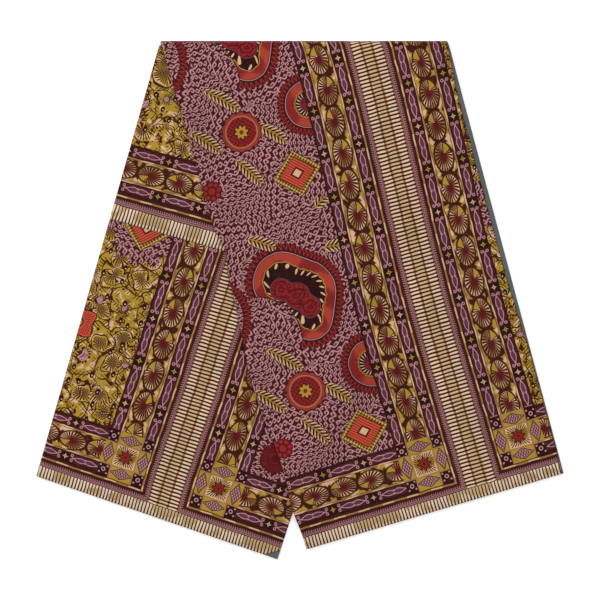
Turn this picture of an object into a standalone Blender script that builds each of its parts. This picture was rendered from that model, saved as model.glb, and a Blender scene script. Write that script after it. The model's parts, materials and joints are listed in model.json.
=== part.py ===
"""A length of wax-print cotton, folded lengthwise to a strip and turned over once, lying flat.

The strip leaves one straight fold line as two arms. The right arm lies on the left one, and a shorter
layer with its own selvedge lies on the left arm. X runs right, Y runs towards the fold and Z runs up from
the surface that the cloth lies on. The origin is under the middle of the whole outline.
"""

import math

import bmesh
import bpy
from mathutils import Vector

# Driving sizes, in metres
FOLD_LINE = 0.3401  # the straight fold that both arms leave
WALL = 0.0012  # one cloth wall
GAP = 0.0003  # air between pieces
ARM_THICKNESS = 0.0066  # all the layers of one arm, pressed
LIP_DROP = 0.0020  # how far a side of a wall turns down
LIP_RADIUS = 0.0016
TONGUE = 0.0008  # height of the hidden layers inside a wall's turned side
FLAP_LENGTH = 0.219  # from the fold line to the flap's selvedge, along the arm
FLAP_SLOPE = 15.7  # degrees, of the flap's selvedge
FLAP_STEP_START = 0.010  # past the flap's selvedge, where the right arm begins to come down off it
FLAP_STEP_RUN = 0.016
DRAPE_RUN = 0.045  # over which the right arm comes down from the left arm's edge to the surface
NOSE_DEPTH = 0.009  # of the rounded fold
NOSE_WAIST = 0.003  # below this the fold's face is upright
LEFT_WALLS_START = 0.006  # below the fold line, where the left arm's walls begin beside the rounded fold
LEFT_LAYERS_START = 0.0035
TUCK = 0.0012  # how far the left arm's walls reach under the right arm's edge
LAYERS_TUCK = 0.012

# Each arm's edges: length from the fold line to the hem, and lean from straight down in degrees, + to the
# right
ARM_EDGES = {
    "right": {"left": (0.6264, 16.03), "right": (0.5300, 15.02)},
    "left": {"left": (0.5360, -15.91), "right": (0.6460, -18.17)},
}

# Waves in the right arm's left edge: distance below the fold line, half length, and shift to the right
EDGE_WAVES = [
    (0.250, 0.030, 0.0062),
    (0.408, 0.120, -0.0080),
    (0.548, 0.048, -0.0034),
]

# Soft creases: where each starts and ends, its half width and its height, + for a ridge
RIGHT_CREASES = [
    ((-0.080, 0.060), (-0.060, -0.110), 0.024, 0.0010),
    ((0.070, 0.240), (0.180, 0.130), 0.022, -0.0006),
    ((0.020, -0.060), (0.150, -0.030), 0.024, 0.0008),
    ((0.120, -0.110), (0.230, -0.170), 0.026, -0.0007),
]
LEFT_CREASES = [
    ((-0.230, 0.020), (-0.130, -0.030), 0.024, 0.0007),
    ((-0.200, -0.130), (-0.090, -0.190), 0.026, -0.0006),
]

# Rows and columns of the lofts
NOSE_ANGLES = (0.0, 30.0, 60.0, 90.0)
RIGHT_ROWS, RIGHT_COLUMNS = 24, 12
LEFT_ROWS, LEFT_COLUMNS = 22, 7
FLAP_ROWS, FLAP_COLUMNS = 9, 5

# A wall's turned side, from its rim to its face: how far in from the edge, and how far down
SIDE_OUTER = [(0.0, LIP_DROP), (0.0, LIP_RADIUS), (0.00047, 0.00047), (LIP_RADIUS, 0.0)]
SIDE_INNER = [(WALL, LIP_DROP), (WALL, LIP_RADIUS), (0.00132, 0.00132), (LIP_RADIUS, WALL)]
# The same for a side that slips under another wall, and for the flap's plain side
TUCKED_OUTER = [(0.0, 0.0), (0.0004, 0.0), (0.0009, 0.0), (LIP_RADIUS, 0.0)]
TUCKED_INNER = [(0.0, WALL), (0.0004, WALL), (0.0009, WALL), (LIP_RADIUS, WALL)]
PLAIN_OUTER = [(0.0004, 0.0010), (0.0004, 0.0006), (0.0007, 0.00015), (LIP_RADIUS, 0.0)]
PLAIN_INNER = [(0.0004, WALL), (0.0005, WALL), (0.0009, WALL), (LIP_RADIUS, WALL)]

# The hidden layers' side: three folded edges below the tongue, each with its own inset
LOBE_INSETS = (0.0003, 0.0001, 0.0005)
GROOVE_INSET = 0.0011
REST_INSET = 0.0040  # of the upright under the lowest fold, clear of the wall that slips in there
FACE_DROP = WALL + GAP  # from an arm's top face to its hidden layers
LAYERS_INSET = WALL + GAP

BOTTOM_STEP = 0.0001  # keeps the lowest groove off the underside

COLLECTION = "african_print_fabric"
# Node: base colour, roughness
FINISHES = {
    "inner_layers": ((0.36, 0.20, 0.12), 0.85),
    "left_panel": ((0.30, 0.14, 0.06), 0.78),
    "left_flap": ((0.42, 0.26, 0.06), 0.78),
    "right_panel": ((0.12, 0.04, 0.07), 0.78),
}


def ease(share):
    share = min(max(share, 0.0), 1.0)
    return share * share * (3 - 2 * share)


def run_of(arm, side):
    """The vector from an edge's start on the fold line to its end at the hem."""
    length, lean = ARM_EDGES[arm][side]
    return Vector((length * math.sin(math.radians(lean)), -length * math.cos(math.radians(lean))))


# The outline is centred on the origin: the hems' outer corners set X, the fold and the lowest corner set Y
FOLD_Y = -run_of("left", "right").y / 2
FOLD_X = -(FOLD_LINE + run_of("right", "right").x + run_of("left", "left").x) / 2
CORNERS = {"left": Vector((FOLD_X, FOLD_Y)), "right": Vector((FOLD_X + FOLD_LINE, FOLD_Y))}


def edge_wave(y):
    """The shift to the right of the right arm's left edge at this height in plan."""
    shift = 0.0
    for middle, half, amount in EDGE_WAVES:
        away = abs(FOLD_Y - y - middle) / half
        if away < 1:
            shift += amount * math.cos(math.pi / 2 * away) ** 2
    return shift


def edge_x(arm, side, y):
    run = run_of(arm, side)
    x = CORNERS[side].x + run.x * (FOLD_Y - y) / -run.y
    return x + (edge_wave(y) if (arm, side) == ("right", "left") else 0.0)


def edge_point(arm, side, below, share):
    """A point on an edge, at this share of the way from below the fold line to the hem."""
    y = FOLD_Y - below + (run_of(arm, side).y + below) * share
    return Vector((edge_x(arm, side, y), y))


def creases(table, place):
    height = 0.0
    for start, end, half_width, amount in table:
        start = Vector(start)
        run = Vector(end) - start
        share = min(max((place - start).dot(run) / run.length_squared, 0.0), 1.0)
        height += amount * math.exp(-(((place - start - run * share).length / half_width) ** 2))
    return height


def left_height(place):
    """The left panel's top face."""
    return ARM_THICKNESS + creases(LEFT_CREASES, place)


def right_rest(place):
    """What the right arm lies on: the left arm, with its flap, easing down to the surface beyond it."""
    run = run_of("left", "right").normalized()
    beyond = (place - CORNERS["right"]).dot(Vector((-run.y, run.x)))
    along = (place - CORNERS["left"]).dot(run_of("left", "left").normalized())
    flap = 1 - ease((along - FLAP_LENGTH - FLAP_STEP_START) / FLAP_STEP_RUN)
    on_left = left_height(place) + GAP + (WALL + GAP) * flap
    return on_left * (1 - ease(beyond / DRAPE_RUN))


def right_height(place):
    """The right panel's top face."""
    return right_rest(place) + ARM_THICKNESS + creases(RIGHT_CREASES, place)


def shares(count):
    return [i / count for i in range(count + 1)]


def section_points(left, right, side_columns, inner_shares, height, drop):
    """Points across a wall, between two edge points in plan: a turned side, the face, and the other side."""
    across = (right - left).normalized()
    first = left + across * side_columns[0][-1][0]
    last = right - across * side_columns[1][-1][0]
    points = [Vector((*(left + across * inset), height(first) - down)) for inset, down in side_columns[0]]
    for share in inner_shares:
        place = first.lerp(last, share)
        points.append(Vector((*place, height(place) - drop)))
    far_side = reversed(side_columns[1])
    points += [Vector((*(right - across * inset), height(last) - down)) for inset, down in far_side]
    return points


def wall_section(left, right, left_side, right_side, inner_shares, height):
    outer = section_points(left, right, (left_side[0], right_side[0]), inner_shares, height, 0.0)
    inner = section_points(left, right, (left_side[1], right_side[1]), inner_shares, height, WALL)
    return outer, inner


def nose_point(place_x, angle, inward):
    """A point on the rounded fold's profile, this far inside its face. 0 degrees is its front, 90 its top."""
    below = NOSE_DEPTH * (1 - math.cos(math.radians(angle)))
    rise = right_height(Vector((place_x, FOLD_Y - NOSE_DEPTH))) - NOSE_WAIST
    face = Vector((FOLD_Y - below, NOSE_WAIST + rise * math.sin(math.radians(angle))))
    normal = Vector((math.cos(math.radians(angle)) / NOSE_DEPTH, math.sin(math.radians(angle)) / rise))
    face -= normal.normalized() * inward
    return Vector((place_x, face.x, face.y))


def nose_section(angle, foot):
    """The right panel's section on the rounded fold, or at its foot just above the surface."""
    below = NOSE_DEPTH * (1 - math.cos(math.radians(angle)))
    ends = [edge_x("right", side, FOLD_Y - below) for side in ("left", "right")]
    outer = []
    inner = []
    for points, sides, drop in ((outer, SIDE_OUTER, 0.0), (inner, SIDE_INNER, WALL)):
        columns = [(ends[0] + inset, down) for inset, down in sides]
        first, last = columns[-1][0], ends[1] - sides[-1][0]
        columns += [(first + (last - first) * share, drop) for share in shares(RIGHT_COLUMNS)[1:-1]]
        columns += [(ends[1] - inset, down) for inset, down in reversed(sides)]
        for x, down in columns:
            point = nose_point(x, angle, down)
            if foot:
                point.z = GAP
            points.append(point)
    return outer, inner


def loft(form, rows):
    """Faces between rows of points, cut on the same diagonal, so that stacked lofts stay parallel."""
    for upper, lower in zip(rows, rows[1:]):
        for i in range(len(upper) - 1):
            form.faces.new((upper[i], upper[i + 1], lower[i + 1]))
            form.faces.new((upper[i], lower[i + 1], lower[i]))


def closed_wall(name, sections):
    """A cloth wall lofted through its sections, with the rims closed."""
    form = bmesh.new()
    outer = [[form.verts.new(p) for p in section[0]] for section in sections]
    inner = [[form.verts.new(p) for p in section[1]] for section in sections]
    loft(form, outer)
    loft(form, inner)
    for end in (0, -1):
        loft(form, [outer[end], inner[end]])
        loft(form, [[row[end] for row in outer], [row[end] for row in inner]])
    return finished(name, form)


def finished(name, form):
    bmesh.ops.recalc_face_normals(form, faces=form.faces)
    mesh = bpy.data.meshes.new(name)
    form.to_mesh(mesh)
    form.free()
    thing = bpy.data.objects.new(name, mesh)
    bpy.data.collections[COLLECTION].objects.link(thing)
    return thing


def side_profile():
    """The hidden layers' side, from the top down: inset from the edge and share of the stack's height."""
    tongue_share = TONGUE / (ARM_THICKNESS - FACE_DROP)
    profile = [(LAYERS_INSET, 1 - tongue_share)]
    pitch = (1 - tongue_share) / len(LOBE_INSETS)
    for i, inset in enumerate(LOBE_INSETS):
        top = 1 - tongue_share - pitch * i
        profile.append((GROOVE_INSET, top - 0.02))
        profile.append((inset, top - 0.32 * pitch))
        profile.append((inset, top - 0.72 * pitch))
    profile.append((GROOVE_INSET, 0.0))
    return profile


def closed_stack(name, grid):
    """Hidden layers under a grid of cells (plan point on the outline, inward ways, top, rest, layered)."""
    form = bmesh.new()
    face_rows = []
    for row in grid:
        face_row = []
        for cell in row:
            place = cell["plan"] + sum((w * LIP_RADIUS for w in cell["inward"]), Vector((0, 0)))
            face_row.append(form.verts.new((*place, cell["top"])))
        face_rows.append(face_row)
    loft(form, face_rows)
    last_row, last_column = len(grid) - 1, len(grid[0]) - 1
    loop = [(r, 0) for r in range(last_row)] + [(last_row, c) for c in range(last_column)]
    loop += [(r, last_column) for r in range(last_row, 0, -1)] + [(0, c) for c in range(last_column, 0, -1)]
    ring = [face_rows[r][c] for r, c in loop]
    profile = side_profile()
    for inset, share in profile + [(REST_INSET, 0.0), (REST_INSET, None)]:
        next_ring = []
        for r, c in loop:
            cell = grid[r][c]
            reach = inset if cell["layered"] else LAYERS_INSET
            place = cell["plan"] + sum((w * reach for w in cell["inward"]), Vector((0, 0)))
            z = 0.0
            if share is not None:
                z = cell["rest"] + (cell["top"] - cell["rest"]) * share + BOTTOM_STEP
            next_ring.append(form.verts.new((*place, z)))
        for i, vertex in enumerate(ring):
            j = (i + 1) % len(ring)
            form.faces.new((vertex, next_ring[i], next_ring[j], ring[j]))
        ring = next_ring
    form.faces.new(ring)
    return finished(name, form)


def right_rows():
    """Plan rows of the right arm below the rounded fold, as pairs of edge points."""
    return [
        [edge_point("right", side, NOSE_DEPTH, share) for side in ("left", "right")]
        for share in shares(RIGHT_ROWS)
    ]


def inward_ways(row, column, last_row, last_column, across, down):
    ways = []
    if column == 0:
        ways.append(across)
    if column == last_column:
        ways.append(-across)
    if row == last_row:
        ways.append(-down)
    return ways


def right_layers():
    """The right arm's hidden layers, down to the surface everywhere."""
    grid = []
    columns = shares(RIGHT_COLUMNS)
    for angle in NOSE_ANGLES[:-1]:
        below = NOSE_DEPTH * (1 - math.cos(math.radians(angle)))
        ends = [edge_x("right", side, FOLD_Y - below) for side in ("left", "right")]
        row = []
        for i, share in enumerate(columns):
            x = ends[0] + LIP_RADIUS + (ends[1] - ends[0] - 2 * LIP_RADIUS) * share
            x -= LIP_RADIUS if i == 0 else -LIP_RADIUS if i == RIGHT_COLUMNS else 0.0
            point = nose_point(x, angle, FACE_DROP)
            ways = inward_ways(0, i, 1, RIGHT_COLUMNS, Vector((1, 0)), Vector((0, -1)))
            row.append({"plan": point.xy, "inward": ways, "top": point.z, "rest": 0.0, "layered": False})
        grid.append(row)
    rows = right_rows()
    for r, (left, right) in enumerate(rows):
        across = (right - left).normalized()
        down = Vector((across.y, -across.x))
        row = []
        for i, share in enumerate(columns):
            ways = inward_ways(r, i, RIGHT_ROWS, RIGHT_COLUMNS, across, down)
            first, last = left + across * LIP_RADIUS, right - across * LIP_RADIUS
            place = left if i == 0 else right if i == RIGHT_COLUMNS else first.lerp(last, share)
            face = place + sum((w * LIP_RADIUS for w in ways), Vector((0, 0)))
            row.append(
                {
                    "plan": place,
                    "inward": ways,
                    "top": right_height(face) - FACE_DROP,
                    "rest": right_rest(face),
                    "layered": r > 0,
                }
            )
        grid.append(row)
    return closed_stack("right_layers", grid)


def reach_under(left, across, tuck):
    """How far a left arm's row runs before it is this far under the right arm's edge."""
    low, high = 0.0, 0.5
    for _ in range(40):
        middle = (low + high) / 2
        place = left + across * middle
        if place.x < edge_x("right", "left", place.y) + tuck:
            low = middle
        else:
            high = middle
    return low


def left_row(share, start):
    left = edge_point("left", "left", start, share)
    right = edge_point("left", "right", start, share)
    across = (right - left).normalized()
    return left, right, across


def left_shares(start):
    """Even shares down the left arm, with one where its right edge comes out from under the right arm."""
    low, high = 0.5, 1.0
    for _ in range(40):
        middle = (low + high) / 2
        left, right, across = left_row(middle, start)
        if reach_under(left, across, TUCK) < (right - left).length:
            low = middle
        else:
            high = middle
    even = [s for s in shares(LEFT_ROWS) if abs(s - low) > 0.4 / LEFT_ROWS]
    return sorted(even + [low]), low


def left_layers():
    """The left arm's hidden layers, as far as they show and a little under the right arm."""
    rows, _ = left_shares(LEFT_WALLS_START)
    rows = [0.0] + rows[1:]
    grid = []
    for r, share in enumerate(rows):
        start = LEFT_LAYERS_START if r == 0 else LEFT_WALLS_START
        left, right, across = left_row(share, start)
        down = Vector((across.y, -across.x))
        wall_reach = min(reach_under(left, across, TUCK), (right - left).length)
        reach = min(reach_under(left, across, LAYERS_TUCK), (right - left).length)
        first, last = LIP_RADIUS, wall_reach - LIP_RADIUS
        row = []
        for i in range(LEFT_COLUMNS + 1):
            at = first + (last - first) * i / LEFT_COLUMNS
            at = 0.0 if i == 0 else reach if i == LEFT_COLUMNS else at
            place = left + across * at
            ways = inward_ways(r, i, len(rows) - 1, LEFT_COLUMNS, across, down)
            face = place + sum((w * LIP_RADIUS for w in ways), Vector((0, 0)))
            top = left_height(face) - FACE_DROP
            row.append({"plan": place, "inward": ways, "top": top, "rest": 0.0, "layered": r > 0})
        grid.append(row)
    return closed_stack("left_layers", grid)


def inner_layers():
    """Both arms' hidden layers as one solid."""
    right = right_layers()
    left = left_layers()
    join = right.modifiers.new("left arm", "BOOLEAN")
    join.operation = "UNION"
    join.object = left
    depsgraph = bpy.context.evaluated_depsgraph_get()
    mesh = bpy.data.meshes.new_from_object(right.evaluated_get(depsgraph))
    thing = bpy.data.objects.new("inner_layers", mesh)
    bpy.data.collections[COLLECTION].objects.link(thing)
    for used in (right, left):
        bpy.data.objects.remove(used, do_unlink=True)
    return thing


def right_panel():
    turned = (SIDE_OUTER, SIDE_INNER)
    inner_shares = shares(RIGHT_COLUMNS)[1:-1]
    sections = [nose_section(NOSE_ANGLES[0], True)]
    sections += [nose_section(angle, False) for angle in NOSE_ANGLES[:-1]]
    for left, right in right_rows():
        sections.append(wall_section(left, right, turned, turned, inner_shares, right_height))
    return closed_wall("right_panel", sections)


def left_panel():
    turned, tucked = (SIDE_OUTER, SIDE_INNER), (TUCKED_OUTER, TUCKED_INNER)
    rows, free_from = left_shares(LEFT_WALLS_START)
    sections = []
    for share in rows:
        left, right, across = left_row(share, LEFT_WALLS_START)
        reach = min(reach_under(left, across, TUCK), (right - left).length)
        far_side = turned if share > free_from else tucked
        end = left + across * reach
        inner_shares = shares(LEFT_COLUMNS)[1:-1]
        sections.append(wall_section(left, end, turned, far_side, inner_shares, left_height))
    return closed_wall("left_panel", sections)


def left_flap():
    plain, tucked = (PLAIN_OUTER, PLAIN_INNER), (TUCKED_OUTER, TUCKED_INNER)
    sections = []
    way = run_of("left", "left").normalized()
    start = LEFT_WALLS_START / -way.y

    def flap_height(place):
        return left_height(place) + GAP + WALL

    for share in shares(FLAP_ROWS):
        left = CORNERS["left"] + way * (start + (FLAP_LENGTH - start) * share)
        slope = math.radians(FLAP_SLOPE * share)
        across = Vector((math.cos(slope), -math.sin(slope)))
        end = left + across * reach_under(left, across, TUCK)
        inner_shares = shares(FLAP_COLUMNS)[1:-1]
        sections.append(wall_section(left, end, plain, tucked, inner_shares, flap_height))
    return closed_wall("left_flap", sections)


def paint(thing):
    colour, roughness = FINISHES[thing.name]
    material = bpy.data.materials.new(thing.name)
    material.use_nodes = True
    shader = material.node_tree.nodes["Principled BSDF"]
    shader.inputs["Base Color"].default_value = (*colour, 1.0)
    shader.inputs["Roughness"].default_value = roughness
    shader.inputs["Metallic"].default_value = 0.0
    thing.data.materials.clear()
    thing.data.materials.append(material)
    thing.data.shade_smooth()
    thing.data.set_sharp_from_angle(angle=math.radians(35))


def main():
    for thing in list(bpy.data.objects):
        bpy.data.objects.remove(thing, do_unlink=True)
    collection = bpy.data.collections.new(COLLECTION)
    bpy.context.scene.collection.children.link(collection)
    for make in (inner_layers, left_panel, left_flap, right_panel):
        paint(make())


main()
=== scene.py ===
import json
import math

import bpy
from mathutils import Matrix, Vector, noise

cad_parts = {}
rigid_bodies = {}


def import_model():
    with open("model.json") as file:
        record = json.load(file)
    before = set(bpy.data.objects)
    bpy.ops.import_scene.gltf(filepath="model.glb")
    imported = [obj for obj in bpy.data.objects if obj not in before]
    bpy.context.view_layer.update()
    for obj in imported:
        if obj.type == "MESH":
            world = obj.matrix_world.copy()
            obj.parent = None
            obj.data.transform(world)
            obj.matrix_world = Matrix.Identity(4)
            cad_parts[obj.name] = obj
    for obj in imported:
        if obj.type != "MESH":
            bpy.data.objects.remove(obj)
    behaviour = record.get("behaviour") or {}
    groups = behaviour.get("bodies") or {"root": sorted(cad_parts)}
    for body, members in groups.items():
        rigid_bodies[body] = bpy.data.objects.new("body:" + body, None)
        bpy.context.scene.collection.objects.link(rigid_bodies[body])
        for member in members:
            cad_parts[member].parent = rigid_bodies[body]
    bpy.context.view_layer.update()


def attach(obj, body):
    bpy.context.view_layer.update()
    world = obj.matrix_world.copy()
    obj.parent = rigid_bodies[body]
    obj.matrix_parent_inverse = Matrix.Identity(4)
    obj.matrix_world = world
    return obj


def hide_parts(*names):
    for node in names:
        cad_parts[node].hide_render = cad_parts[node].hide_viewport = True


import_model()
scene = bpy.context.scene

# The fold's own sizes in metres, the same as the solids have. An edge is a length and a lean in degrees; a wave
# in an edge is its place below the fold line, half its length and its shift; a crease is its start, end, half
# width and height
fold = {
    "line": 0.3401,
    "wall": 0.0012,
    "gap": 0.0003,
    "armThickness": 0.0066,
    "lipRadius": 0.0016,
    "lipDrop": 0.0020,
    "flapLength": 0.219,
    "flapSlope": 15.7,
    "flapStepStart": 0.010,
    "flapStepRun": 0.016,
    "drapeRun": 0.045,
    "noseDepth": 0.009,
    "noseWaist": 0.003,
    "leftStart": 0.006,
    "edges": {
        "right": {"left": (0.6264, 16.03), "right": (0.5300, 15.02)},
        "left": {"left": (0.5360, -15.91), "right": (0.6460, -18.17)},
    },
    "waves": [(0.250, 0.030, 0.0062), (0.408, 0.120, -0.0080), (0.548, 0.048, -0.0034)],
    "rightCreases": [
        ((-0.080, 0.060), (-0.060, -0.110), 0.024, 0.0010),
        ((0.070, 0.240), (0.180, 0.130), 0.022, -0.0006),
        ((0.020, -0.060), (0.150, -0.030), 0.024, 0.0008),
        ((0.120, -0.110), (0.230, -0.170), 0.026, -0.0007),
    ],
    "leftCreases": [
        ((-0.230, 0.020), (-0.130, -0.030), 0.024, 0.0007),
        ((-0.200, -0.130), (-0.090, -0.190), 0.026, -0.0006),
    ],
}


def ease(share):
    share = min(max(share, 0.0), 1.0)
    return share * share * (3 - 2 * share)


def runOf(arm, side):
    length, lean = fold["edges"][arm][side]
    return Vector((length * math.sin(math.radians(lean)), -length * math.cos(math.radians(lean))))


foldY = -runOf("left", "right").y / 2
foldX = -(fold["line"] + runOf("right", "right").x + runOf("left", "left").x) / 2
corners = {"left": Vector((foldX, foldY)), "right": Vector((foldX + fold["line"], foldY))}


def edgeWave(y):
    shift = 0.0
    for middle, half, amount in fold["waves"]:
        away = abs(foldY - y - middle) / half
        if away < 1:
            shift += amount * math.cos(math.pi / 2 * away) ** 2
    return shift


def edgeX(arm, side, y):
    run = runOf(arm, side)
    x = corners[side].x + run.x * (foldY - y) / -run.y
    return x + (edgeWave(y) if (arm, side) == ("right", "left") else 0.0)


def edgePoint(arm, side, start, share):
    y = foldY - start + (runOf(arm, side).y + start) * share
    return Vector((edgeX(arm, side, y), y))


def creases(table, place):
    height = 0.0
    for start, end, halfWidth, amount in table:
        start = Vector(start)
        run = Vector(end) - start
        share = min(max((place - start).dot(run) / run.length_squared, 0.0), 1.0)
        height += amount * math.exp(-(((place - start - run * share).length / halfWidth) ** 2))
    return height


# Waves to the metre and their height in metres
ripples = {"slow": (9, 0.00030), "quick": (34, 0.00012)}


def ripple(place, seed):
    # The slight waviness that handling leaves in a pressed stack
    often, high = ripples["slow"]
    slow = noise.noise((place.x * often, place.y * often, seed))
    often, low = ripples["quick"]
    quick = noise.noise((place.x * often, place.y * often, seed + 7))
    return high * slow + low * quick


def leftHeight(place):
    return fold["armThickness"] + creases(fold["leftCreases"], place) + ripple(place, 3.0)


def beyondLeft(place):
    # How far a place lies past the left arm's right edge
    run = runOf("left", "right").normalized()
    return (place - corners["right"]).dot(Vector((-run.y, run.x)))


def rightRest(place):
    along = (place - corners["left"]).dot(runOf("left", "left").normalized())
    flap = 1 - ease((along - fold["flapLength"] - fold["flapStepStart"]) / fold["flapStepRun"])
    onLeft = leftHeight(place) + fold["gap"] + (fold["wall"] + fold["gap"]) * flap
    return onLeft * (1 - ease(beyondLeft(place) / fold["drapeRun"]))


def rightHeight(place):
    height = rightRest(place) + fold["armThickness"]
    return height + creases(fold["rightCreases"], place) + ripple(place, 11.0)


# Where the print lies on each arm, in metres: p runs across from the middle of the light stripe,
# v up from the selvedge. Slopes are degrees
rightHem = edgePoint("right", "left", 0.0, 1.0)
rightAcross = (edgePoint("right", "right", 0.0, 1.0) - rightHem).normalized()
rightUp = Vector((-rightAcross.y, rightAcross.x))
leftHem = edgePoint("left", "left", 0.0, 1.0)
leftUp = -runOf("left", "left").normalized()
printing = {
    "rightStripe": 0.2205,
    "rightShift": {"most": 0.017, "from": 0.18, "run": 0.42},
    "leftLean": {"foot": 19.0, "less": 3.3, "run": 0.315},
    "leftStripe": [(0.05, 0.1535), (0.15, 0.159), (0.20, 0.160), (0.30, 0.164), (0.54, 0.172)],  # v, middle
    "leftPhase": 0.016,
    "leftStretch": 1.06,
    "leftFieldShift": 0.104,
    "flapHatch": (0.021, 0.0045),  # the band's width, and how much narrower the print's own is
    "flapSelvedge": 0.317,
    "flapShift": 0.059,
    "flapField": (0.080, 0.275),
    # where the grey edge with painted shade runs along the right arm's right side, in metres
    "rim": {
        "least": 0.0015,
        "more": 0.0040,
        "from": 0.12,
        "run": 0.14,
        "less": 0.0030,
        "top": 0.45,
        "end": 0.07,
    },
    # the grey corner by the notch is painted shade where the left arm turns down under the right arm
    "shadedCorner": (0.017, 0.010),  # the grey corner's length and height
}


def rightPrint(place):
    away = place - rightHem
    u, v = away.dot(rightAcross), away.dot(rightUp)
    shift = printing["rightShift"]
    p = u - printing["rightStripe"] - shift["most"] * ease((v - shift["from"]) / shift["run"])
    # the grey edge of the lower layers, with painted shade, widest at the top of the right side
    run = runOf("right", "right").normalized()
    inside = (corners["right"] - place).dot(Vector((-run.y, run.x)))
    rim = printing["rim"]
    inside -= rim["least"] + rim["more"] * ease((v - rim["from"]) / rim["run"])
    inside += rim["less"] * ease((v - rim["top"]) / rim["end"])
    return (p, v), (p, v), (inside, 0.0)


def leftFrame(place):
    # The print's slope changes up the arm, so its place is found in a few rounds
    lean = printing["leftLean"]
    v = (place - leftHem).dot(leftUp)
    for _ in range(4):
        slope = math.radians(lean["foot"] - lean["less"] * min(max(v / lean["run"], 0.0), 1.0))
        away = place - leftHem
        v = away.x * math.sin(slope) + away.y * math.cos(slope)
        v /= leftUp.x * math.sin(slope) + leftUp.y * math.cos(slope)
    return (place - leftHem - leftUp * v).dot(Vector((math.cos(slope), -math.sin(slope)))), v


def leftStripeAt(v):
    table = printing["leftStripe"]
    if v <= table[0][0]:
        return table[0][1]
    for (v0, c0), (v1, c1) in zip(table, table[1:]):
        if v <= v1:
            return c0 + (c1 - c0) * (v - v0) / (v1 - v0)
    return table[-1][1]


def leftPrint(place):
    u, v = leftFrame(place)
    p = leftStripeAt(v) - u
    x = p if p > 0 else p - printing["leftFieldShift"]
    # the grey corner of painted shade by the notch
    long, high = printing["shadedCorner"]
    inside = (-beyondLeft(place) / long + v / high - 1) * high
    return (p, v * printing["leftStretch"]), (x, v + printing["leftPhase"]), (inside, 0.0)


def flapPrint(place):
    u, v = leftFrame(place)
    p = leftStripeAt(v) + printing["flapShift"] - u
    v -= printing["flapSelvedge"]
    wide, shift = printing["flapHatch"]
    shiftX, shiftV = printing["flapField"]
    hatched = v * (wide - shift) / wide if v < wide else v - shift
    return (p, hatched), (p + shiftX, v + shiftV), (1.0, 0.0)


def deselectAll():
    for thing in bpy.context.view_layer.objects:
        thing.select_set(False)


def addMaps(mesh, maps):
    # One UV map for each list of places, which has a place for each point
    for mapName, printed in maps.items():
        layer = mesh.uv_layers.new(name=mapName)
        for loop in mesh.loops:
            layer.data[loop.index].uv = printed[loop.vertex_index]


def sheetFromRows(name, rows, thickness):
    # A grid is added at its count of points, and each point goes to its place on the folded cloth
    deselectAll()
    columns = len(rows[0])
    bpy.ops.mesh.primitive_grid_add(x_subdivisions=columns - 1, y_subdivisions=len(rows) - 1, size=1)
    piece = bpy.context.object
    piece.name = name
    mesh = piece.data
    mesh.name = name
    ends = [mesh.vertices[0].co, mesh.vertices[-1].co]
    step = (
        (ends[1].x - ends[0].x) / (columns - 1),
        (ends[1].y - ends[0].y) / (len(rows) - 1),
    )
    start = ends[0].copy()
    maps = {"printMap": [], "fieldMap": [], "rimMap": []}
    for vertex in mesh.vertices:
        column = round((vertex.co.x - start.x) / step[0])
        row = len(rows) - 1 - round((vertex.co.y - start.y) / step[1])
        point = rows[row][column]
        vertex.co = point["place"]
        for printed, uv in zip(maps.values(), point["print"]):
            printed.append(uv)
    while mesh.uv_layers:
        mesh.uv_layers.remove(mesh.uv_layers[0])
    addMaps(mesh, maps)
    shell = piece.modifiers.new("cloth", "SOLIDIFY")
    shell.thickness = thickness
    shell.offset = -1
    bpy.ops.object.modifier_apply(modifier="cloth")
    bpy.ops.object.shade_smooth()
    return piece


def shares(count):
    return [i / count for i in range(count + 1)]


def turnedSide(reach):
    # Inset, drop and length along the cloth of a rounded side, from its rim up to the face
    radius = fold["lipRadius"]
    points = [(0.0, reach, reach - radius + radius * math.pi / 2)]
    for angle in (0, 18, 36, 54, 72, 90):
        turn = math.radians(angle)
        left = radius * (math.pi / 2 - turn)
        points.append((radius * (1 - math.cos(turn)), radius * (1 - math.sin(turn)), left))
    return points


# The same for a side that lies flat under another layer, and for the flap's plain edge
tuckedSide = [(0.0, 0.0, fold["lipRadius"]), (0.0008, 0.0, 0.0008), (fold["lipRadius"], 0.0, 0.0)]
plainSide = [(0.0004, 0.0006, 0.0014), (0.0006, 0.0002, 0.0011), (fold["lipRadius"], 0.0, 0.0)]


def crossSection(left, right, leftSide, rightSide, faceColumns, height, printAt, unroll=0.0):
    # One row of the cloth between two edge points: a side, the face, the other side
    across = (right - left).normalized()
    first = left + across * leftSide[-1][0]
    last = right - across * rightSide[-1][0]
    row = []

    def add(plan, z, flat):
        row.append({"place": Vector((plan.x, plan.y, z)), "print": printAt(flat + Vector((0, unroll)))})

    for inset, drop, length in leftSide[:-1]:
        add(left + across * inset, height(first) - drop, first - across * length)
    for share in shares(faceColumns):
        place = first.lerp(last, share)
        add(place, height(place), place)
    for inset, drop, length in reversed(rightSide[:-1]):
        add(right - across * inset, height(last) - drop, last + across * length)
    return row


rightSheet = {"rows": 200, "faceColumns": 100, "thickness": 0.0006, "noseRows": 9}


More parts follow.
